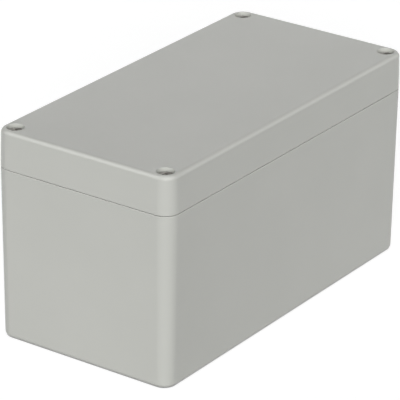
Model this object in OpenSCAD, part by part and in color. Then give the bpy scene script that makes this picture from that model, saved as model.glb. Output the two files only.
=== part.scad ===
// Polycarbonate electronics enclosure: a deep base and a screwed lid, sealed by a tongue
// that presses into a gasket. Millimetres, +Z up, origin at the centre of the underside.
// The lid screws and the wall fixing channels stand in corner columns outside the seal.

/* [Enclosure] */
// Length at the parting line
enclosure_length = 160; // [140:1:260]
// Width at the parting line
enclosure_width = 80; // [76:1:160]
// Height of the base and the closed lid together
enclosure_height = 85; // [60:1:140]
// Height of the lid above the parting line
lid_height = 15.4; // [14:0.1:24]
// Radius of the upright corners at the parting line
corner_radius = 6; // [5:0.5:8]
// Draft angle of the base walls, in degrees
base_draft = 0.57; // [0.2:0.01:1]
// Draft angle of the lid walls, in degrees
lid_draft = 1.26; // [0.2:0.01:2]
// Radius along the top edges of the lid
lid_edge_radius = 1.8; // [1:0.1:2.4]
// Radius along the bottom edges of the base
base_edge_radius = 1.6; // [0.8:0.1:2.4]
// Radius of the two edges that meet at the parting line
seam_edge_radius = 0.4; // [0.2:0.05:0.8]

/* [Walls] */
// Thickness of the base walls at the parting line
wall = 3.2; // [3:0.1:4]
// Thickness of the floor
floor_thickness = 3.2; // [2.5:0.1:5]
// Thickness of the lid plate
plate_thickness = 3.2; // [2.5:0.1:4.5]
// Material left between a fixing channel and the inside
column_wall = 3; // [2.8:0.1:4]
// Radius of the inner corners beside the columns
pocket_radius = 3; // [2.8:0.1:4]
// Radius of the free upright edge of each column
column_edge_radius = 3; // [2.4:0.1:4]

/* [Seal] */
// Width of the tongue on the rim of the base
tongue_width = 1.5; // [1.2:0.05:1.6]
// Height of the tongue above the parting line
tongue_height = 2.6; // [1.5:0.1:3.5]
// Free space on each side of the tongue in its groove
tongue_clearance = 0.3; // [0.2:0.05:0.4]
// Thickness of the gasket when the lid is closed
gasket_thickness = 2.4; // [1.5:0.1:3]
// Free space on each side of the gasket
gasket_clearance = 0.1; // [0.05:0.01:0.2]
// Width of the lip on the inner side of the groove
lip_width = 1.4; // [1:0.1:1.5]

/* [Lid screws] */
// Distance of each screw axis from the two outer faces at the parting line
screw_inset = 5.8; // [5.6:0.1:8]
// Thread diameter of the lid screws
thread_diameter = 3; // [3:0.5:4]
// Rise of the screw for each turn
thread_pitch = 0.5; // [0.5:0.05:0.7]
// Turns that free the screw from its insert
release_turns = 16; // [10:1:18]
// Diameter of the thin neck that the washer slides on
neck_diameter = 2.2; // [2:0.1:2.6]
// Diameter of the pan head
head_diameter = 6; // [5.5:0.1:7]
// Height of the pan head
head_height = 1.9; // [1.6:0.1:3]
// Radius of the domed top of the head
dome_radius = 9; // [6:0.5:14]
// Depth of the top of the head below the lid face
head_recess = 1; // [0.2:0.1:1.5]
// Free space around the head in its well
well_clearance = 0.35; // [0.2:0.05:0.5]
// Free space around the thread in the lid
thread_clearance = 0.2; // [0.1:0.05:0.3]
// Width of the driver slot and of the cross wings
slot_width = 0.9; // [0.6:0.05:1.2]
// Depth of the driver slot
slot_depth = 0.7; // [0.5:0.1:1]
// Length of the cross wings
cross_length = 3.2; // [2.4:0.1:4]
// Depth of the cross wings
cross_depth = 1; // [0.8:0.1:1.3]
// Direction of the slot when the lid is closed, in degrees
slot_angle = -20; // [-90:1:90]

/* [Captive washers] */
// Outer diameter of the nylon retaining washer
washer_diameter = 5.4; // [5:0.1:5.6]
// Thickness of the retaining washer
washer_thickness = 1; // [0.6:0.1:1.4]
// Free space around the neck in the washer
washer_clearance = 0.1; // [0.05:0.01:0.2]
// Free space around the washer in its pocket, also left under the web
washer_play = 0.3; // [0.2:0.05:0.4]
// Thickness of the web that the head clamps
seat_web = 2; // [1.5:0.1:3]

/* [Threaded inserts] */
// Outer diameter of the brass insert
insert_diameter = 4.8; // [4.6:0.1:5.6]
// Length of the brass insert
insert_length = 8; // [6:0.1:10]
// Depth of the insert below the top of its column
insert_sink = 0.4; // [0.2:0.1:1]
// Free space between the screw thread and the insert bore
bore_clearance = 0.06; // [0.03:0.01:0.1]
// Free space around the insert in its hole
insert_clearance = 0.02; // [0.01:0.01:0.05]
// Depth of the blind hole below the insert and the screw tip
tip_room = 5; // [3:0.5:8]

/* [Wall fixing] */
// Distance of the fixing holes from the end faces at the parting line
fixing_inset_x = 6; // [5.6:0.1:10]
// Distance of the fixing holes from the side faces at the parting line
fixing_inset_y = 14; // [13.4:0.1:18]
// Diameter of the fixing holes
fixing_hole_diameter = 4.5; // [4:0.1:5.5]
// Diameter of the channel above each fixing hole
fixing_channel_diameter = 7.5; // [7:0.1:8]
// Material under the head of a fixing screw
fixing_seat = 5; // [3.5:0.1:10]
// Depth of the relief in the lid above each channel
relief_depth = 10; // [6:0.5:11]

/* [Floor bosses] */
// Distance of the bosses from the end faces at the parting line
boss_inset_x = 20; // [18:1:50]
// Distance of the bosses from the side faces at the parting line
boss_inset_y = 15; // [10:1:25]
// Diameter of the bosses
boss_diameter = 7; // [6:0.5:10]
// Height of the bosses above the floor
boss_height = 5; // [3:0.5:12]
// Diameter of the core holes for thread-forming screws
boss_hole_diameter = 2.5; // [2:0.1:4]
// Depth of the core holes from the top of the boss
boss_hole_depth = 6.5; // [4:0.5:12]

/* [Hidden] */
$fn = 96;
// Extra length that lets a cutting shape pass the face it opens
cut = 1;
corner_names = ["front_left", "front_right", "rear_right", "rear_left"];
corner_signs = [[-1, -1], [1, -1], [1, 1], [-1, 1]];
half_length = enclosure_length / 2;
half_width = enclosure_width / 2;
seam_z = enclosure_height - lid_height;
base_slope = tan(base_draft);
lid_slope = tan(lid_draft);
fixing_x = half_length - fixing_inset_x;
fixing_y = half_width - fixing_inset_y;
fixing_channel_radius = fixing_channel_diameter / 2;
column_x = fixing_x - fixing_channel_radius - column_wall;
column_y = fixing_y - fixing_channel_radius - column_wall;
screw_x = half_length - screw_inset;
screw_y = half_width - screw_inset;
groove_depth = tongue_height + gasket_thickness;
seat_z = enclosure_height - head_recess - head_height;
web_z = seat_z - seat_web;
screw_rise = release_turns * thread_pitch;
washer_z = web_z - washer_play - screw_rise - washer_thickness;
washer_room_radius = washer_diameter / 2 + washer_play;
insert_top_z = min(seam_z, washer_z) - insert_sink;
insert_foot_z = insert_top_z - insert_length;
thread_tip_z = insert_top_z + washer_play - screw_rise;
thread_radius = thread_diameter / 2;
insert_radius = insert_diameter / 2;
boss_x = half_length - boss_inset_x;
boss_y = half_width - boss_inset_y;
boss_top_z = floor_thickness + boss_height;

// Section of a drafted wall: outwards from its corner axis and upwards from its foot,
// with rounded edges where the radii are not nought
module wall_profile(foot_reach, height, slope, foot_radius, head_radius) {
    lean = sqrt(1 + slope * slope);
    normal = [1, -slope] / lean;
    foot = [foot_reach + (slope - lean) * foot_radius, foot_radius];
    head = [foot_reach + slope * (height - head_radius) - lean * head_radius, height - head_radius];
    polygon([
        [0, 0],
        [foot.x, 0],
        foot + foot_radius * normal,
        head + head_radius * normal,
        [head.x, height],
        [0, height]
    ]);
    if (foot_radius > 0) {
        translate(foot) circle(foot_radius);
    }
    if (head_radius > 0) {
        translate(head) circle(head_radius);
    }
}

// Block with drafted walls round four corner axes
module drafted_block(axis_x, axis_y, foot_reach, height, slope, foot_radius = 0, head_radius = 0) {
    translate([-axis_x, -axis_y, 0]) cube([2 * axis_x, 2 * axis_y, height]);
    for (turn = [0, 180]) {
        rotate(turn) translate([-axis_x, axis_y, 0]) rotate([90, 0, 90]) linear_extrude(2 * axis_x)
            wall_profile(foot_reach, height, slope, foot_radius, head_radius);
        rotate(turn) translate([axis_x, axis_y, 0]) rotate([90, 0, 0]) linear_extrude(2 * axis_y)
            wall_profile(foot_reach, height, slope, foot_radius, head_radius);
        rotate(turn) translate([axis_x, axis_y, 0]) rotate_extrude(angle = 90)
            wall_profile(foot_reach, height, slope, foot_radius, head_radius);
        rotate(turn) translate([-axis_x, axis_y, 0]) rotate(90) rotate_extrude(angle = 90)
            wall_profile(foot_reach, height, slope, foot_radius, head_radius);
    }
}

// Space inside the seal: the inside of the base less its corner columns, grown outwards
module sealed_space(foot_grow, height, slope) {
    reach = pocket_radius + foot_grow;
    edge = column_edge_radius - foot_grow;
    drafted_block(column_x - pocket_radius, half_width - wall - pocket_radius, reach, height, slope);
    drafted_block(half_length - wall - pocket_radius, column_y - pocket_radius, reach, height, slope);
    for (sign = corner_signs) {
        mirror([sign.x < 0 ? 1 : 0, 0, 0]) mirror([0, sign.y < 0 ? 1 : 0, 0]) difference() {
            translate([column_x - pocket_radius, column_y - pocket_radius, 0])
                cube([pocket_radius + column_edge_radius, pocket_radius + column_edge_radius, height]);
            translate([column_x + column_edge_radius, column_y + column_edge_radius, 0])
                cylinder(r1 = edge, r2 = edge - slope * height, h = height);
        }
    }
}

module at_screw(index) {
    sign = corner_signs[index];
    translate([sign.x * screw_x, sign.y * screw_y, 0]) children();
}

module at_corners(x, y) {
    for (sign = corner_signs) {
        translate([sign.x * x, sign.y * y, 0]) children();
    }
}

// Inside of the base, from the floor up through the tongue
module base_space() {
    depth = seam_z - floor_thickness;
    translate([0, 0, floor_thickness])
        sealed_space(-base_slope * depth, depth + tongue_height + cut, base_slope);
}

// Moulded base with rim tongue, corner columns and floor bosses
module base() {
    color("lightgray") difference() {
        union() {
            difference() {
                union() {
                    drafted_block(half_length - corner_radius, half_width - corner_radius,
                        corner_radius - base_slope * seam_z, seam_z, base_slope,
                        base_edge_radius, seam_edge_radius);
                    translate([0, 0, seam_z - cut]) sealed_space(tongue_width, cut + tongue_height, 0);
                }
                base_space();
            }
            at_corners(boss_x, boss_y)
                translate([0, 0, floor_thickness / 2])
                    cylinder(d = boss_diameter, h = boss_top_z - floor_thickness / 2);
        }
        at_corners(boss_x, boss_y)
            translate([0, 0, boss_top_z - boss_hole_depth])
                cylinder(d = boss_hole_diameter, h = boss_hole_depth + cut);
        at_corners(fixing_x, fixing_y) {
            translate([0, 0, -cut]) cylinder(d = fixing_hole_diameter, h = fixing_seat + 2 * cut);
            translate([0, 0, fixing_seat]) cylinder(r = fixing_channel_radius, h = seam_z);
        }
        at_corners(screw_x, screw_y) {
            translate([0, 0, insert_top_z]) cylinder(r = washer_room_radius, h = lid_height);
            translate([0, 0, insert_foot_z])
                cylinder(r = insert_radius + insert_clearance, h = insert_length + cut);
            translate([0, 0, min(insert_foot_z, thread_tip_z) - tip_room])
                cylinder(r = thread_radius + thread_clearance, h = tip_room + insert_length);
        }
    }
}

// Moulded lid with gasket groove, screw wells and washer pockets
module lid() {
    color("lightgray") difference() {
        translate([0, 0, seam_z])
            drafted_block(half_length - corner_radius, half_width - corner_radius, corner_radius,
                lid_height, -lid_slope, seam_edge_radius, lid_edge_radius);
        translate([0, 0, seam_z]) intersection() {
            translate([-half_length, -half_width, 0])
                cube([enclosure_length, enclosure_width, lid_height - plate_thickness]);
            translate([0, 0, -cut])
                sealed_space(lid_slope * cut - tongue_clearance - lip_width, lid_height + cut, -lid_slope);
        }
        translate([0, 0, seam_z]) difference() {
            translate([0, 0, -cut]) sealed_space(tongue_width + tongue_clearance, groove_depth + cut, 0);
            translate([0, 0, -2 * cut]) sealed_space(-tongue_clearance, groove_depth + 3 * cut, 0);
        }
        at_corners(screw_x, screw_y) {
            translate([0, 0, seat_z]) cylinder(r = head_diameter / 2 + well_clearance, h = lid_height);
            translate([0, 0, seam_z]) cylinder(r = thread_radius + thread_clearance, h = lid_height);
            translate([0, 0, seam_z - cut])
                cylinder(r = washer_room_radius, h = web_z - seam_z + cut);
        }
        at_corners(fixing_x, fixing_y)
            translate([0, 0, seam_z - cut]) cylinder(r = fixing_channel_radius, h = relief_depth + cut);
    }
}

// Foamed gasket at the bottom of the groove in the lid, resting on the tongue
module lid_gasket() {
    color("dimgray") translate([0, 0, seam_z + tongue_height]) difference() {
        sealed_space(tongue_width + tongue_clearance - gasket_clearance, gasket_thickness, 0);
        translate([0, 0, -cut])
            sealed_space(gasket_clearance - tongue_clearance, gasket_thickness + 2 * cut, 0);
    }
}

// Captive pan head screw with a slot and a cross recess, its thread drawn as a plain shaft
module lid_screw(index) {
    color("silver") at_screw(index) difference() {
        union() {
            translate([0, 0, seat_z]) intersection() {
                cylinder(d = head_diameter, h = head_height);
                translate([0, 0, head_height - dome_radius]) sphere(dome_radius);
            }
            translate([0, 0, washer_z]) cylinder(d = neck_diameter, h = seat_z - washer_z + cut);
            translate([0, 0, thread_tip_z]) cylinder(r = thread_radius, h = washer_z - thread_tip_z);
        }
        translate([0, 0, seat_z + head_height]) rotate(slot_angle) {
            translate([-head_diameter, -slot_width / 2, -slot_depth])
                cube([2 * head_diameter, slot_width, slot_depth + cut]);
            translate([-slot_width / 2, -cross_length / 2, -cross_depth])
                cube([slot_width, cross_length, cross_depth + cut]);
            translate([-cross_length / 2, -slot_width / 2, -cross_depth])
                cube([cross_length, slot_width, cross_depth + cut]);
        }
    }
}

// Nylon washer on the neck that keeps an undone screw in the lid
module retaining_washer(index) {
    color("ivory") at_screw(index) translate([0, 0, washer_z]) difference() {
        cylinder(d = washer_diameter, h = washer_thickness);
        translate([0, 0, -cut])
            cylinder(r = neck_diameter / 2 + washer_clearance, h = washer_thickness + 2 * cut);
    }
}

// Brass insert pressed into the top of a corner column
module threaded_insert(index) {
    color("goldenrod") at_screw(index) translate([0, 0, insert_foot_z]) difference() {
        cylinder(r = insert_radius, h = insert_length);
        translate([0, 0, -cut]) cylinder(r = thread_radius + bore_clearance, h = insert_length + 2 * cut);
    }
}

base();
lid();
lid_gasket();
for (index = [0 : len(corner_names) - 1]) {
    lid_screw(index);
    retaining_washer(index);
    threaded_insert(index);
}
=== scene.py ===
import math

import bmesh
import bpy
from mathutils import Matrix, Vector
from mathutils.geometry import tessellate_polygon


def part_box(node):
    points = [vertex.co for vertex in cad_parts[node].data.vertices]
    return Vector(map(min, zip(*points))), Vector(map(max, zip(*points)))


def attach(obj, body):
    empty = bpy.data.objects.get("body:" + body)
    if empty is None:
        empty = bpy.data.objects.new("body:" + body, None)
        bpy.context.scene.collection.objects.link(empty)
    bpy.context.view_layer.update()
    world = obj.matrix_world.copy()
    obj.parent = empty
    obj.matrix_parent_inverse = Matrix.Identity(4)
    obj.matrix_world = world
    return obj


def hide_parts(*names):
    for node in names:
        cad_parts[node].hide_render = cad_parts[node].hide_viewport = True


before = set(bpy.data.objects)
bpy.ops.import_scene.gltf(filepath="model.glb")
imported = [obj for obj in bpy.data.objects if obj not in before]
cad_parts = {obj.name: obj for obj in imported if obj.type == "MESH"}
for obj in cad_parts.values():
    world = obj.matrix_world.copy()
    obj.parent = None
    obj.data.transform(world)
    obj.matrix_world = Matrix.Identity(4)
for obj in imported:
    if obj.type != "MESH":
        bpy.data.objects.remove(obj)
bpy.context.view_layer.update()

# Base: the deep lower moulding, shot in one piece from light grey polycarbonate. Its walls
# have a slight draft, a tongue stands on the rim inside the outer land, and corner columns
# outside the tongue carry the lid screw inserts and the wall fixing channels.
MM = 0.001
lid_low, lid_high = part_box("lid")
half_length, half_width = lid_high.x, lid_high.y
seam_z = lid_low.z
corner_radius = 6 * MM
corner_steps = 14
base_draft = math.radians(0.57)
base_slope = math.tan(base_draft)
base_foot = (-base_slope * seam_z, 0)
base_edge_radius = 1.6 * MM
base_rim_radius = 0.23 * MM
edge_steps = 6
seam_gap = 0.13 * MM
seam_gap_depth = 1.5 * MM
base_rim_z = seam_z - seam_gap
housing_shades = (0.478, 0.484, 0.453), (0.492, 0.497, 0.466)


def arc(centre, radius, start, end, steps):
    """Points round part of a circle, between two angles in degrees."""
    turns = [math.radians(start + (end - start) * i / steps) for i in range(steps + 1)]
    return [(centre[0] + radius * math.cos(a), centre[1] + radius * math.sin(a)) for a in turns]


def rounded_rectangle(low, high, radius, steps):
    """Rectangle between two corner points, with its corners rounded."""
    left, right = low[0] + radius, high[0] - radius
    bottom, top = low[1] + radius, high[1] - radius
    points = []
    for start, centre in enumerate([(right, top), (left, top), (left, bottom), (right, bottom)]):
        points += arc(centre, radius, 90 * start, 90 * start + 90, steps)
    return points


def body_outline(grow):
    """The rounded rectangle of the housing, moved outwards by grow."""
    x, y = half_length + grow, half_width + grow
    return rounded_rectangle((-x, -y), (x, y), corner_radius + grow, corner_steps)


def wall_profile(foot, head_z, slope, foot_radius, head_radius):
    """Section of a drafted wall as (grow, z) points, its two edges rounded."""
    lean = math.hypot(1, slope)
    tilt = -math.degrees(math.atan(slope))
    foot_grow, foot_z = foot
    rise = head_z - foot_z - head_radius
    foot_centre = (foot_grow + (slope - lean) * foot_radius, foot_z + foot_radius)
    head_centre = (foot_grow + slope * rise - lean * head_radius, head_z - head_radius)
    points = arc(foot_centre, foot_radius, -90, tilt, edge_steps)
    return points + arc(head_centre, head_radius, tilt, 90, edge_steps)


def add_ring(mesh, outline, z):
    return [mesh.verts.new((x, y, z)) for x, y in outline]


def add_skin(mesh, rings):
    """Quads between rings that follow each other."""
    for low, high in zip(rings, rings[1:]):
        for i in range(len(low)):
            mesh.faces.new((low[i - 1], low[i], high[i], high[i - 1]))


def add_swept(mesh, outline, profile):
    """Skin of a profile of (grow, z) points that follows an outline."""
    rings = [add_ring(mesh, outline(grow), z) for grow, z in profile]
    add_skin(mesh, rings)
    return rings


# Outside walls, with the fine gap at the parting line
base_mesh = bmesh.new()
base_profile = wall_profile(base_foot, base_rim_z, base_slope, base_edge_radius, base_rim_radius)
base_profile += [(-seam_gap_depth, base_rim_z), (-seam_gap_depth, seam_z)]
base_outside = add_swept(base_mesh, body_outline, base_profile)

# Wall fixing channels, from the rim down to a seat near the underside
fixing_x = half_length - 6 * MM
fixing_y = half_width - 14 * MM
fixing_hole_radius = 2.25 * MM
fixing_channel_radius = 3.75 * MM
fixing_seat_z = 5 * MM
fine_edge = 0.2 * MM
fine_steps = 3
circle_sides = 48
corner_names = {
    "front_left": (-1, -1),
    "front_right": (1, -1),
    "rear_right": (1, 1),
    "rear_left": (-1, 1),
}


def at_corners(x, y):
    return [(sx * x, sy * y) for sx, sy in corner_names.values()]


def fine_arc(across, z, start, end):
    """A fine rounded edge of a section, about the given centre."""
    return arc((across, z), fine_edge, start, end, fine_steps)


def circle(centre, radius):
    return arc(centre, radius, 0, 360 - 360 / circle_sides, circle_sides - 1)


def add_turned(mesh, centre, profile, closed=False):
    """Skin of a profile of (radius, z) points turned round an upright axis."""
    rings = [add_ring(mesh, circle(centre, radius), z) for radius, z in profile]
    add_skin(mesh, rings)
    if closed:
        mesh.faces.new(rings[-1])
    return rings


channel_profile = fine_arc(fixing_hole_radius + fine_edge, fine_edge, 270, 180)
channel_profile += [(fixing_hole_radius, fixing_seat_z), (fixing_channel_radius, fixing_seat_z)]
channel_profile += fine_arc(fixing_channel_radius + fine_edge, seam_z - fine_edge, 180, 90)
fixing_spots = at_corners(fixing_x, fixing_y)
channels = [add_turned(base_mesh, at, channel_profile) for at in fixing_spots]

# Holes for the inserts, with room for the washers above and for the screw tips below
screw_inset = 5.8 * MM
screw_x = half_length - screw_inset
screw_y = half_width - screw_inset
screw_spots = at_corners(screw_x, screw_y)
insert_low, insert_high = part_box("threaded_insert_front_left")
washer_low, washer_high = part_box("retaining_washer_front_left")
insert_radius = (insert_high.x - insert_low.x) / 2
washer_radius = (washer_high.x - washer_low.x) / 2
washer_play = 0.3 * MM
washer_room_radius = washer_radius + washer_play
thread_radius = 1.5 * MM
thread_clearance = 0.2 * MM
thread_hole_radius = thread_radius + thread_clearance
tip_room = 5 * MM
insert_hole_profile = fine_arc(washer_room_radius + fine_edge, seam_z - fine_edge, 90, 180)
insert_hole_profile += [
    (washer_room_radius, insert_high.z),
    (insert_radius, insert_high.z),
    (insert_radius, insert_low.z),
    (thread_hole_radius, insert_low.z),
    (thread_hole_radius, insert_low.z - tip_room),
]
insert_holes = [
    add_turned(base_mesh, at, insert_hole_profile, closed=True) for at in screw_spots
]

# Inside walls round the corner columns, from the tongue on the rim down to the floor
wall = 3.2 * MM
floor_z = 3.2 * MM
floor_fillet = 1 * MM
tongue_top_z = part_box("base")[1].z
tongue_width = 1.5 * MM
column_wall = 3 * MM
column_edge_radius = 3 * MM
column_x = fixing_x - fixing_channel_radius - column_wall
column_y = fixing_y - fixing_channel_radius - column_wall
pocket_radius = 3 * MM
pocket_steps = 8


def seal_outline(grow):
    """The inside of the base round its corner columns, moved outwards by grow."""
    end_centre = (half_length - wall - pocket_radius, column_y - pocket_radius)
    edge_centre = (column_x + column_edge_radius, column_y + column_edge_radius)
    side_centre = (column_x - pocket_radius, half_width - wall - pocket_radius)
    quarter = arc(end_centre, pocket_radius + grow, 0, 90, pocket_steps)
    quarter += arc(edge_centre, column_edge_radius - grow, 270, 180, pocket_steps)
    quarter += arc(side_centre, pocket_radius + grow, 0, 90, pocket_steps)
    points = quarter + [(-x, y) for x, y in reversed(quarter)]
    return points + [(-x, -y) for x, y in points]


inside_foot = -base_slope * (seam_z - floor_z)
inside_lean = math.hypot(1, base_slope) - base_slope
inside_tilt = math.degrees(base_draft)
inside_head = base_slope * (tongue_top_z - seam_z)
floor_fillet_centre = (inside_foot - floor_fillet * inside_lean, floor_z + floor_fillet)
tongue_profile = [(tongue_width, seam_z)]
tongue_profile += fine_arc(tongue_width - fine_edge, tongue_top_z - fine_edge, 0, 90)
tongue_profile += fine_arc(inside_head + fine_edge, tongue_top_z - fine_edge, 90, 180)
tongue_profile += arc(floor_fillet_centre, floor_fillet, -inside_tilt, -90, edge_steps)
base_inside = add_swept(base_mesh, seal_outline, tongue_profile)

# Floor bosses, with pilot holes for the screws of a circuit board
boss_x = half_length - 20 * MM
boss_y = half_width - 15 * MM
boss_radius = 3.5 * MM
boss_top_z = floor_z + 5 * MM
boss_fillet = 0.6 * MM
boss_hole_radius = 1.25 * MM
boss_hole_depth = 6.5 * MM
fillet_steps = 4
boss_fillet_centre = (boss_radius + boss_fillet, floor_z + boss_fillet)
boss_profile = arc(boss_fillet_centre, boss_fillet, 270, 180, fillet_steps)
boss_profile += fine_arc(boss_radius - fine_edge, boss_top_z - fine_edge, 0, 90)
boss_profile += fine_arc(boss_hole_radius + fine_edge, boss_top_z - fine_edge, 90, 180)
boss_profile += [(boss_hole_radius, boss_top_z - boss_hole_depth)]
boss_spots = at_corners(boss_x, boss_y)
bosses = [add_turned(base_mesh, at, boss_profile, closed=True) for at in boss_spots]

# Marks of the ejector pins on the floor
ejector_radius = 3 * MM
ejector_depth = 0.12 * MM
ejector_x = 0.55 * boss_x
ejector_y = 0.9 * boss_y
ejector_spots = at_corners(ejector_x, ejector_y) + [(0, 0), (boss_x, 0), (-boss_x, 0)]
ejector_profile = [
    (ejector_radius, floor_z),
    (ejector_radius - ejector_depth, floor_z - ejector_depth),
]
ejector_marks = [
    add_turned(base_mesh, at, ejector_profile, closed=True) for at in ejector_spots
]

# Mark of the gate on the underside, with the stub of the runner
gate_radius = 2.6 * MM
gate_top_radius = 2.2 * MM
gate_depth = 0.35 * MM
stub_radius = 0.9 * MM
stub_end_radius = 0.7 * MM
stub_end_z = 0.08 * MM
gate_profile = [
    (gate_radius, 0),
    (gate_top_radius, gate_depth),
    (stub_radius, gate_depth),
    (stub_end_radius, stub_end_z),
]
gate_mark = add_turned(base_mesh, (0, 0), gate_profile, closed=True)


def add_flat(mesh, rim, holes=()):
    """The flat area inside a ring, less the rings of its holes, in even triangles."""
    loops = [rim, *holes]
    verts = [v for loop in loops for v in loop]
    triangles = tessellate_polygon([[v.co for v in loop] for loop in loops])
    faces = [mesh.faces.new([verts[i] for i in triangle]) for triangle in triangles]
    inside = set(faces)
    edges = dict.fromkeys(edge for face in faces for edge in face.edges)
    shared = [edge for edge in edges if inside.issuperset(edge.link_faces)]
    bmesh.ops.beautify_fill(mesh, faces=faces, edges=shared)


# Flat faces: the underside, the rim and the floor
underside_holes = [rings[0] for rings in channels + [gate_mark]]
rim_holes = [rings[-1] for rings in channels] + [rings[0] for rings in insert_holes]
add_flat(base_mesh, base_outside[0], underside_holes)
add_flat(base_mesh, base_outside[-1], [base_inside[0]] + rim_holes)
add_flat(base_mesh, base_inside[-1], [rings[0] for rings in bosses + ejector_marks])


def mix_colour(tree, factor, low, high):
    """A colour that runs from low to high with a grey value."""
    mix = tree.nodes.new("ShaderNodeMix")
    mix.data_type = "RGBA"
    mix.inputs["A"].default_value = (*low, 1)
    mix.inputs["B"].default_value = (*high, 1)
    tree.links.new(factor, mix.inputs["Factor"])
    return mix.outputs["Result"]


def add_noise(tree, feature, detail=2):
    """Noise over the piece with features of about the given size in metres."""
    place = tree.nodes.new("ShaderNodeTexCoord")
    noise = tree.nodes.new("ShaderNodeTexNoise")
    noise.inputs["Scale"].default_value = 1 / feature
    noise.inputs["Detail"].default_value = detail
    tree.links.new(place.outputs["Object"], noise.inputs["Vector"])
    return noise.outputs["Fac"]


def spread(tree, factor, low=0, high=1):
    """Stretches the middle of a noise, where most of it lies, to run from low to high."""
    middle_low, middle_high = 0.3, 0.7
    stretch = tree.nodes.new("ShaderNodeMapRange")
    stretch.inputs["From Min"].default_value = middle_low
    stretch.inputs["From Max"].default_value = middle_high
    stretch.inputs["To Min"].default_value = low
    stretch.inputs["To Max"].default_value = high
    tree.links.new(factor, stretch.inputs["Value"])
    return stretch.outputs["Result"]


def add_bump(tree, height, depth, strength):
    bump = tree.nodes.new("ShaderNodeBump")
    bump.inputs["Distance"].default_value = depth
    bump.inputs["Strength"].default_value = strength
    tree.links.new(height, bump.inputs["Height"])
    return bump.outputs["Normal"]


def new_finish(name, refraction=1.5, metallic=0):
    material = bpy.data.materials.new(name)
    material.use_nodes = True
    surface = material.node_tree.nodes["Principled BSDF"]
    surface.inputs["IOR"].default_value = refraction
    surface.inputs["Metallic"].default_value = metallic
    return material, material.node_tree, surface


def link_finish(tree, surface, **outputs):
    """Links node outputs to the sockets of a surface, named with underscores."""
    for name, output in outputs.items():
        tree.links.new(output, surface.inputs[name.replace("_", " ")])


def moulded_polycarbonate():
    """Light grey with a fine spark-eroded grain, and faint clouds from the melt."""
    material, tree, surface = new_finish("moulded_polycarbonate", refraction=1.58)
    surface.inputs["Specular IOR Level"].default_value = 0.35
    clouds = spread(tree, add_noise(tree, feature=30 * MM, detail=3))
    grain = add_noise(tree, feature=0.22 * MM, detail=3)
    link_finish(
        tree,
        surface,
        Base_Color=mix_colour(tree, clouds, *housing_shades),
        Roughness=spread(tree, add_noise(tree, feature=5 * MM), low=0.277, high=0.293),
        Normal=add_bump(tree, grain, depth=0.03 * MM, strength=1),
    )
    return material


sharp_angle = math.radians(35)


def new_piece(mesh, name):
    """Puts a finished mesh into the scene as an object."""
    data = bpy.data.meshes.new(name)
    mesh.to_mesh(data)
    mesh.free()
    piece = bpy.data.objects.new(name, data)
    bpy.context.scene.collection.objects.link(piece)
    return piece


def closed_piece(mesh, name):
    """An object from a closed mesh, with all its faces turned outwards."""
    bmesh.ops.recalc_face_normals(mesh, faces=mesh.faces)
    return new_piece(mesh, name)


def lead_with_flats(piece):
    """Keeps flat faces flat in the shading, next to their rounded edges."""
    normals = piece.modifiers.new("flat faces lead", "WEIGHTED_NORMAL")
    normals.keep_sharp = True


def smooth_faces(piece):
    """Smooth shading that breaks at sharp edges."""
    piece.data.shade_smooth()
    piece.data.set_sharp_from_angle(angle=sharp_angle)
    lead_with_flats(piece)


housing_finish = moulded_polycarbonate()
base_piece = closed_piece(base_mesh, "base_moulding")
smooth_faces(base_piece)
base_piece.data.materials.append(housing_finish)
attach(base_piece, "base")
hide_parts("base")

# Threaded inserts: turned brass bushes with two knurled bands, pressed hot into the tops of
# the corner columns, so that the lid screws never cut into the plastic.
bore_clearance = 0.06 * MM
bore_thread_depth = 0.2 * MM
insert_bore_radius = thread_radius + bore_clearance
insert_valley_radius = insert_bore_radius + bore_thread_depth
thread_sides = 48
thread_pitch = 0.5 * MM
thread_flank = 5 / 16
thread_crest = 2 / 16
thread_run_out = 0.8 * thread_pitch
thread_end_room = 0.03 * thread_pitch
knurl_teeth = 36
knurl_depth = 0.14 * MM
knurl_lead = math.radians(24)
brass_shades = (0.60, 0.40, 0.14), (0.72, 0.51, 0.21)


def add_thread(mesh, crest_radius, valley_radius, end_radius, foot_z, head_z):
    """Wall of a right-hand thread as one closed band: returns its foot and head rings."""
    shape = [
        (0, valley_radius),
        (thread_flank, crest_radius),
        (thread_flank + thread_crest, crest_radius),
        (2 * thread_flank + thread_crest, valley_radius),
    ]
    spare_turns = 3
    turns = math.ceil((head_z - foot_z) / thread_pitch) + spare_turns
    columns = []
    for side in range(thread_sides):
        angle = 2 * math.pi * side / thread_sides
        across = Vector((math.cos(angle), math.sin(angle), 0))
        foot, head = (
            mesh.verts.new(across * end_radius + Vector((0, 0, z))) for z in (foot_z, head_z)
        )
        column = []
        for turn in range(turns):
            for share, radius in shape:
                z = foot_z + thread_pitch * (turn + share + side / thread_sides - 1)
                if z < foot_z + thread_end_room:
                    column.append(foot)
                elif z > head_z - thread_end_room:
                    column.append(head)
                else:
                    end_gap = min(z - foot_z, head_z - z)
                    reach = end_radius + (radius - end_radius) * min(1, end_gap / thread_run_out)
                    column.append(mesh.verts.new(across * reach + Vector((0, 0, z))))
        columns.append(column)
    strips = len(shape) * (turns - 1) - 1
    for side, column in enumerate(columns):
        after = columns[(side + 1) % thread_sides]
        shift = len(shape) if side == thread_sides - 1 else 0
        for i in range(strips):
            corners = (column[i], after[i + shift], after[i + 1 + shift], column[i + 1])
            unlike = list(dict.fromkeys(corners))
            if len(unlike) > 2:
                mesh.faces.new(unlike)
    return [column[0] for column in columns], [column[-1] for column in columns]


def knurl_outline(radius, depth, turn):
    """Circle with pointed teeth cut inwards from the given radius."""
    half_tooth = 2
    steps = knurl_teeth * 2 * half_tooth
    points = []
    for i in range(steps):
        angle = 2 * math.pi * i / steps + turn
        reach = radius - depth * abs(i % (2 * half_tooth) - half_tooth) / half_tooth
        points.append((reach * math.cos(angle), reach * math.sin(angle)))
    return points


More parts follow.
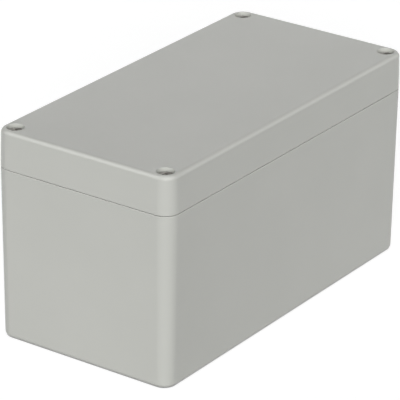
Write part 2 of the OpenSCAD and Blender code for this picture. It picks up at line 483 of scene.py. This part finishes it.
insert_mesh = bmesh.new()
lead_in_radius = insert_radius - 0.3 * MM
lead_end_radius = insert_radius - 0.1 * MM
waist_radius = insert_radius - 0.35 * MM
knurl_root_radius = insert_radius - knurl_depth
collar_top_radius = insert_radius - 0.08 * MM
# Each ring of the outside, foot first: share of the length, radius, tooth depth and turn.
insert_rings = [
    (0, lead_in_radius, 0, 0),
    (0.06, lead_end_radius, 0, 0),
    (0.07, insert_radius, knurl_depth, 0),
    (0.42, insert_radius, knurl_depth, knurl_lead),
    (0.43, knurl_root_radius, 0, knurl_lead),
    (0.46, waist_radius, 0, knurl_lead),
    (0.54, waist_radius, 0, knurl_lead),
    (0.57, knurl_root_radius, 0, knurl_lead),
    (0.58, insert_radius, knurl_depth, knurl_lead),
    (0.9, insert_radius, knurl_depth, 0),
    (0.91, insert_radius, 0, 0),
    (0.99, insert_radius, 0, 0),
    (1, collar_top_radius, 0, 0),
]
insert_length = insert_high.z - insert_low.z
insert_outside = [
    add_ring(insert_mesh, knurl_outline(radius, depth, turn), insert_low.z + share * insert_length)
    for share, radius, depth, turn in insert_rings
]
add_skin(insert_mesh, insert_outside)
bore_foot, bore_head = add_thread(
    insert_mesh,
    crest_radius=insert_bore_radius,
    valley_radius=insert_valley_radius,
    end_radius=insert_valley_radius,
    foot_z=insert_low.z,
    head_z=insert_high.z,
)
add_flat(insert_mesh, insert_outside[0], [bore_foot])
add_flat(insert_mesh, insert_outside[-1], [bore_head])


def turned_brass():
    """Yellow brass, a little tarnished, with fine turning marks."""
    material, tree, surface = new_finish("turned_brass", metallic=1)
    tarnish = spread(tree, add_noise(tree, feature=1.2 * MM, detail=3))
    marks = add_noise(tree, feature=0.08 * MM)
    link_finish(
        tree,
        surface,
        Base_Color=mix_colour(tree, tarnish, *brass_shades),
        Roughness=spread(tree, add_noise(tree, feature=0.4 * MM), low=0.29, high=0.4),
        Normal=add_bump(tree, marks, depth=0.004 * MM, strength=0.4),
    )
    return material


def copy_to_corner(pattern, name, corner):
    """A copy of a piece made round the upright axis, moved to a corner's screw axis."""
    sx, sy = corner_names[corner]
    piece = bpy.data.objects.new(name, pattern.data)
    lead_with_flats(piece)
    piece.location = (sx * screw_x, sy * screw_y, 0)
    bpy.context.scene.collection.objects.link(piece)
    return piece


insert_pattern = closed_piece(insert_mesh, "insert_pattern")
smooth_faces(insert_pattern)
insert_pattern.data.materials.append(turned_brass())
for corner in corner_names:
    insert_piece = copy_to_corner(insert_pattern, f"brass_insert_{corner}", corner)
    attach(insert_piece, "base")
    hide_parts(f"threaded_insert_{corner}")
bpy.data.objects.remove(insert_pattern)

# Lid: the shallow upper moulding in the same grey polycarbonate, with fully rounded top edges.
# A groove for the gasket runs round its rim, and a well in each corner sinks the head of the
# screw that holds it down.
lid_draft = math.radians(1.26)
lid_slope = math.tan(lid_draft)
lid_edge_radius = 1.8 * MM
lid_rim_radius = 0.4 * MM
plate_z = lid_high.z - 3.2 * MM
plate_fillet = 1 * MM
well_radius = 3.35 * MM
well_edge = 0.3 * MM
head_recess = 1 * MM
head_height = 1.9 * MM
seat_web = 2 * MM
seat_z = lid_high.z - head_recess - head_height
web_z = seat_z - seat_web
relief_top_z = seam_z + 10 * MM
gasket_low, gasket_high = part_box("lid_gasket")
tongue_clearance = 0.3 * MM
lip_width = 1.4 * MM
groove_outer = tongue_width + tongue_clearance
groove_inner = -tongue_clearance
lip_inner = groove_inner - lip_width

# Outside walls and the rounded top edge
lid_mesh = bmesh.new()
lid_profile = wall_profile((0, seam_z), lid_high.z, -lid_slope, lid_rim_radius, lid_edge_radius)
lid_outside = add_swept(lid_mesh, body_outline, lid_profile)

# Wells for the screw heads, with room for the washers below the web
well_edge_centre = (well_radius + well_edge, lid_high.z - well_edge)
well_profile = arc(well_edge_centre, well_edge, 90, 180, fine_steps)
well_profile += [
    (well_radius, seat_z),
    (thread_hole_radius, seat_z),
    (thread_hole_radius, web_z),
    (washer_room_radius, web_z),
]
well_profile += fine_arc(washer_room_radius + fine_edge, seam_z + fine_edge, 180, 270)
wells = [add_turned(lid_mesh, at, well_profile) for at in screw_spots]

# Reliefs above the wall fixing channels
relief_profile = fine_arc(fixing_channel_radius + fine_edge, seam_z + fine_edge, 270, 180)
relief_profile += [(fixing_channel_radius, relief_top_z)]
reliefs = [add_turned(lid_mesh, at, relief_profile, closed=True) for at in fixing_spots]

# Groove for the gasket, the lip inside it and the walls up to the plate
plate_lean = math.hypot(1, lid_slope) - lid_slope
plate_rim = lip_inner - lid_slope * (plate_z - seam_z)
plate_fillet_centre = (plate_rim - plate_fillet * plate_lean, plate_z - plate_fillet)
groove_profile = fine_arc(groove_outer + fine_edge, seam_z + fine_edge, 270, 180)
groove_profile += [(groove_outer, gasket_high.z), (groove_inner, gasket_high.z)]
groove_profile += fine_arc(groove_inner - fine_edge, seam_z + fine_edge, 0, -90)
groove_profile += fine_arc(lip_inner + fine_edge, seam_z + fine_edge, 270, 180)
groove_profile += arc(plate_fillet_centre, plate_fillet, math.degrees(lid_draft), 90, edge_steps)
lid_inside = add_swept(lid_mesh, seal_outline, groove_profile)

# Marks of the ejector pins under the plate
lid_ejector_profile = [
    (ejector_radius, plate_z),
    (ejector_radius - ejector_depth, plate_z + ejector_depth),
]
lid_ejector_marks = [
    add_turned(lid_mesh, at, lid_ejector_profile, closed=True) for at in ejector_spots
]

# Flat faces: the top, the rim and the underside of the plate
lid_rim_holes = [rings[-1] for rings in wells] + [rings[0] for rings in reliefs]
add_flat(lid_mesh, lid_outside[-1], [rings[0] for rings in wells])
add_flat(lid_mesh, lid_outside[0], [lid_inside[0]] + lid_rim_holes)
add_flat(lid_mesh, lid_inside[-1], [rings[0] for rings in lid_ejector_marks])

lid_piece = closed_piece(lid_mesh, "lid_moulding")
smooth_faces(lid_piece)
lid_piece.data.materials.append(housing_finish)
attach(lid_piece, "lid")
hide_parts("lid")

# Gasket: an endless strip of closed-cell foam rubber, laid in the groove of the lid and
# squeezed by the tongue of the base when the screws are tight.
gasket_clearance = 0.1 * MM
gasket_edge = 0.45 * MM
gasket_edge_steps = 5
foam_shades = (0.020, 0.020, 0.021), (0.034, 0.034, 0.036)

gasket_mesh = bmesh.new()
gasket_section = rounded_rectangle(
    (groove_inner + gasket_clearance, gasket_low.z),
    (groove_outer - gasket_clearance, gasket_high.z),
    gasket_edge,
    gasket_edge_steps,
)
gasket_rings = add_swept(gasket_mesh, seal_outline, gasket_section)
add_skin(gasket_mesh, [gasket_rings[-1], gasket_rings[0]])


def foam_rubber():
    """Dark grey foam with a dull skin and small open pores."""
    material, tree, surface = new_finish("foam_rubber", refraction=1.45)
    surface.inputs["Roughness"].default_value = 0.85
    patches = spread(tree, add_noise(tree, feature=4 * MM, detail=3))
    pores = add_noise(tree, feature=0.35 * MM, detail=4)
    link_finish(
        tree,
        surface,
        Base_Color=mix_colour(tree, patches, *foam_shades),
        Normal=add_bump(tree, pores, depth=0.08 * MM, strength=0.7),
    )
    return material


gasket_piece = closed_piece(gasket_mesh, "foam_gasket")
smooth_faces(gasket_piece)
gasket_piece.data.materials.append(foam_rubber())
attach(gasket_piece, "lid")
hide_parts("lid_gasket")

# Retaining washers: small natural nylon rings snapped over the screw threads. They ride on the
# thin necks and keep the undone screws hanging in the lid.
washer_bore_radius = 1.2 * MM
washer_edge = 0.15 * MM
nylon_shades = (0.70, 0.67, 0.57), (0.76, 0.73, 0.64)

washer_mesh = bmesh.new()
washer_section = rounded_rectangle(
    (washer_bore_radius, washer_low.z), (washer_radius, washer_high.z), washer_edge, fine_steps
)
washer_rings = add_turned(washer_mesh, (0, 0), washer_section)
add_skin(washer_mesh, [washer_rings[-1], washer_rings[0]])


def natural_nylon():
    """Milky white nylon, slightly waxy."""
    material, tree, surface = new_finish("natural_nylon", refraction=1.53)
    surface.inputs["Roughness"].default_value = 0.4
    surface.inputs["Subsurface Weight"].default_value = 0.1
    surface.inputs["Subsurface Scale"].default_value = 0.5 * MM
    shade = spread(tree, add_noise(tree, feature=2 * MM))
    skin = add_noise(tree, feature=0.2 * MM)
    link_finish(
        tree,
        surface,
        Base_Color=mix_colour(tree, shade, *nylon_shades),
        Normal=add_bump(tree, skin, depth=0.01 * MM, strength=0.3),
    )
    return material


washer_pattern = closed_piece(washer_mesh, "washer_pattern")
smooth_faces(washer_pattern)
washer_pattern.data.materials.append(natural_nylon())
for corner in corner_names:
    washer_piece = copy_to_corner(washer_pattern, f"nylon_washer_{corner}", corner)
    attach(washer_piece, f"washer_{corner}")
    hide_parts(f"retaining_washer_{corner}")
bpy.data.objects.remove(washer_pattern)

# Lid screws: stainless pan head screws, cold headed with a slot and a cross recess, with a neck
# thinner than the rolled thread. They sit below the lid face and stay in the lid when undone.
screw_low, screw_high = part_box("lid_screw_front_left")
head_radius = (screw_high.x - screw_low.x) / 2
head_top_z = screw_high.z
head_edge = 0.2 * MM
dome_radius = 9 * MM
dome_steps = 8
dome_end = 89
neck_radius = 1.1 * MM
neck_fillet = 0.25 * MM
thread_depth = 0.3 * MM
thread_root_radius = thread_radius - thread_depth
thread_head_z = washer_low.z
slot_width = 0.9 * MM
slot_depth = 0.7 * MM
slot_turn = math.radians(-20)
cross_length = 3.2 * MM
cross_depth = 1 * MM
# Greys painted darker than real stainless: painted shade that stands for the dark surroundings
# reflected in the screw heads.
steel_greys_with_painted_shade = (0.237, 0.230, 0.214), (0.278, 0.270, 0.251)

# Rolled thread
screw_mesh = bmesh.new()
thread_foot, thread_head = add_thread(
    screw_mesh,
    crest_radius=thread_radius,
    valley_radius=thread_root_radius,
    end_radius=thread_root_radius,
    foot_z=screw_low.z,
    head_z=thread_head_z,
)
screw_mesh.faces.new(thread_foot)

# Neck and pan head
dome_reach = head_radius - head_edge
dome_drop = dome_radius - math.sqrt(dome_radius ** 2 - dome_reach ** 2)
dome_start = 90 - math.degrees(math.asin(dome_reach / dome_radius))
dome_centre = (0, head_top_z - dome_radius)
head_edge_z = head_top_z - dome_drop - head_edge
neck_fillet_centre = (neck_radius + neck_fillet, seat_z - neck_fillet)
screw_profile = [(neck_radius, thread_head_z)]
screw_profile += arc(neck_fillet_centre, neck_fillet, 180, 90, fillet_steps)
screw_profile += arc((dome_reach, seat_z + head_edge), head_edge, -90, 0, fillet_steps)
screw_profile += arc((dome_reach, head_edge_z), head_edge, 0, dome_start, fillet_steps)
screw_profile += arc(dome_centre, dome_radius, dome_start, dome_end, dome_steps)[1:]
screw_rings = add_turned(screw_mesh, (0, 0), screw_profile, closed=True)
add_flat(screw_mesh, thread_head, [screw_rings[0]])


def recess_cutter(name, half_top, half_foot, depth):
    """Tapered bar that cuts one arm of the driver recess into the head."""
    cutter = bmesh.new()
    corners = [(-1, -1), (1, -1), (1, 1), (-1, 1)]
    rings = []
    for half, z in ((half_foot, head_top_z - depth), (half_top, head_top_z + slot_depth)):
        rings.append(add_ring(cutter, [(x * half[0], y * half[1]) for x, y in corners], z))
    add_skin(cutter, rings)
    for ring in rings:
        cutter.faces.new(ring)
    turn = Matrix.Rotation(slot_turn, 3, "Z")
    bmesh.ops.rotate(cutter, cent=(0, 0, 0), matrix=turn, verts=cutter.verts)
    return closed_piece(cutter, name)


def cut_with(piece, cutters):
    """Cuts the cutters out of a piece and deletes them."""
    for cutter in cutters:
        cut = piece.modifiers.new(cutter.name, "BOOLEAN")
        cut.operation = "DIFFERENCE"
        cut.object = cutter
    solid = piece.evaluated_get(bpy.context.evaluated_depsgraph_get())
    piece.data = bpy.data.meshes.new_from_object(solid)
    piece.modifiers.clear()
    for cutter in cutters:
        bpy.data.objects.remove(cutter)


def stainless_steel():
    """Stainless dulled by tumbling, with fine marks from heading and rolling; its colour is painted
    darker than stainless, as painted shade for the dark surroundings it reflects.
    """
    material, tree, surface = new_finish("stainless_steel", metallic=1)
    stain = spread(tree, add_noise(tree, feature=1.5 * MM, detail=3))
    marks = add_noise(tree, feature=0.1 * MM)
    link_finish(
        tree,
        surface,
        Base_Color=mix_colour(tree, stain, *steel_greys_with_painted_shade),
        Roughness=spread(tree, add_noise(tree, feature=0.3 * MM), low=0.42, high=0.54),
        Normal=add_bump(tree, marks, depth=0.004 * MM, strength=0.5),
    )
    return material


screw_pattern = closed_piece(screw_mesh, "screw_pattern")
slot_half = (2 * head_radius, slot_width / 2)
cross_half_top = (cross_length / 2, slot_width / 2)
cross_half_foot = (cross_length / 4, slot_width / 3)
cut_with(
    screw_pattern,
    [
        recess_cutter("slot_cutter", slot_half, slot_half, slot_depth),
        recess_cutter("cross_cutter", cross_half_top, cross_half_foot, cross_depth),
        recess_cutter("wing_cutter", cross_half_top[::-1], cross_half_foot[::-1], cross_depth),
    ],
)
smooth_faces(screw_pattern)
screw_pattern.data.materials.append(stainless_steel())
for corner in corner_names:
    screw_piece = copy_to_corner(screw_pattern, f"captive_screw_{corner}", corner)
    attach(screw_piece, f"screw_{corner}")
    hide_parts(f"lid_screw_{corner}")
bpy.data.objects.remove(screw_pattern)

# Studio: a white floor that runs out of the picture and keeps the soft shadow, even light from
# all round, a broad lamp in front with a fill behind, and three that only shine along the edges.
floor_half = 4
floor_drop = 0.02 * MM
floor_corners = [(x * floor_half, y * floor_half) for x, y in ((-1, -1), (1, -1), (1, 1), (-1, 1))]
floor_mesh = bmesh.new()
floor_mesh.faces.new(add_ring(floor_mesh, floor_corners, -floor_drop))
floor = new_piece(floor_mesh, "studio_floor")


def seen_rays(tree):
    """One for rays that show the surface as it is seen: camera, mirror and glass rays."""
    path = tree.nodes.new("ShaderNodeLightPath")
    total = path.outputs["Is Camera Ray"]
    for name in ("Is Glossy Ray", "Is Transmission Ray"):
        add = tree.nodes.new("ShaderNodeMath")
        add.operation = "ADD"
        add.use_clamp = True
        tree.links.new(total, add.inputs[0])
        tree.links.new(path.outputs[name], add.inputs[1])
        total = add.outputs["Value"]
    return total


def mix_seen(tree, unseen, seen, output):
    """Shows one shader to the rays that see the surface, and the other to the rest."""
    mix = tree.nodes.new("ShaderNodeMixShader")
    tree.links.new(seen_rays(tree), mix.inputs["Fac"])
    tree.links.new(unseen, mix.inputs[1])
    tree.links.new(seen, mix.inputs[2])
    tree.links.new(mix.outputs["Shader"], output.inputs["Surface"])


def new_shader(tree, kind, grey=None, strength=None):
    """A plain shader node with its colour and strength set."""
    shader = tree.nodes.new(kind)
    if grey is not None:
        shader.inputs["Color"].default_value = (grey, grey, grey, 1)
    if strength is not None:
        shader.inputs["Strength"].default_value = strength
    return shader


floor_white = bpy.data.materials.new("white_floor")
floor_white.use_nodes = True
floor_tree = floor_white.node_tree
floor_tree.nodes.remove(floor_tree.nodes["Principled BSDF"])
bounce = new_shader(floor_tree, "ShaderNodeBsdfDiffuse", grey=0.35)
paper = new_shader(floor_tree, "ShaderNodeBsdfDiffuse", grey=0.33)
glow = new_shader(floor_tree, "ShaderNodeEmission", strength=0.8)
contact_shadow = floor_tree.nodes.new("ShaderNodeAmbientOcclusion")
contact_shadow.inputs["Distance"].default_value = 0.5 * MM
floor_tree.links.new(contact_shadow.outputs["Color"], glow.inputs["Color"])
seen_paper = floor_tree.nodes.new("ShaderNodeAddShader")
floor_tree.links.new(paper.outputs["BSDF"], seen_paper.inputs[0])
floor_tree.links.new(glow.outputs["Emission"], seen_paper.inputs[1])
floor_output = floor_tree.nodes["Material Output"]
mix_seen(floor_tree, bounce.outputs["BSDF"], seen_paper.outputs["Shader"], floor_output)
floor.data.materials.append(floor_white)

world = bpy.data.worlds.new("white_studio")
bpy.context.scene.world = world
world.use_nodes = True
world_tree = world.node_tree
world_tree.nodes.remove(world_tree.nodes["Background"])
even_light = new_shader(world_tree, "ShaderNodeBackground", grey=1, strength=0.32)
white_wall = new_shader(world_tree, "ShaderNodeBackground", grey=1, strength=1)
world_output = world_tree.nodes["World Output"]
mix_seen(world_tree, even_light.outputs[0], white_wall.outputs[0], world_output)


def direction(turn, height):
    """Unit vector towards a place: its turn goes round from the front, its height up from level."""
    level = math.cos(height)
    return Vector((math.sin(turn) * level, -math.cos(turn) * level, math.sin(height)))


def add_lamp(name, strength, turn, height, width, gloss=False):
    """Far lamp, with its place and how wide it looks in degrees. A gloss lamp only shows as a
    reflection, and the others only light."""
    data = bpy.data.lights.new(name, "SUN")
    data.energy = strength
    data.angle = math.radians(width)
    towards = direction(math.radians(turn), math.radians(height))
    lamp = bpy.data.objects.new(name, data)
    lamp.rotation_mode = "QUATERNION"
    lamp.rotation_quaternion = towards.to_track_quat("Z", "Y")
    lamp.visible_diffuse = not gloss
    lamp.visible_glossy = gloss
    bpy.context.scene.collection.objects.link(lamp)


add_lamp("key_lamp", strength=2.78, turn=-57, height=19, width=30)
add_lamp("back_fill_lamp", strength=2.4, turn=130, height=4, width=20)
add_lamp("left_edge_lamp", strength=1.5, turn=-134, height=38, width=50, gloss=True)
add_lamp("right_edge_lamp", strength=0.62, turn=54, height=23, width=50, gloss=True)
add_lamp("corner_edge_lamp", strength=3.7, turn=-32, height=46, width=86, gloss=True)

# Camera: a long lens that looks down on the near corner of the lid, as in the photograph. Its
# place and lens were fitted to the straight edges of the housing.
camera_turn = math.radians(-55.065)
camera_height = math.radians(24.005)
camera_roll = math.radians(-0.721)
camera_distance = 1136.444 * MM
camera_right_shift = -2.095 * MM
camera_down_shift = 4.087 * MM
focal_pixels = 2928.713
frame_pixels = 400

camera_data = bpy.data.cameras.new("photo_camera")
camera_data.sensor_width = 36
camera_data.lens = camera_data.sensor_width * focal_pixels / frame_pixels
camera_data.clip_start = 10 * MM
camera_data.clip_end = 100
backward = direction(camera_turn, camera_height)
level_right = (-backward).cross(Vector((0, 0, 1))).normalized()
level_up = backward.cross(level_right)
rolled_right = level_right * math.cos(camera_roll) - level_up * math.sin(camera_roll)
rolled_up = backward.cross(rolled_right)
camera_place = Vector((0, 0, lid_high.z / 2)) + backward * camera_distance
camera_place += level_right * camera_right_shift - level_up * camera_down_shift
camera = bpy.data.objects.new("photo_camera", camera_data)
camera_axes = Matrix((rolled_right, rolled_up, backward)).transposed()
camera.matrix_world = Matrix.Translation(camera_place) @ camera_axes.to_4x4()
bpy.context.scene.collection.objects.link(camera)
bpy.context.scene.camera = camera
bpy.context.scene.view_settings.view_transform = "Standard"
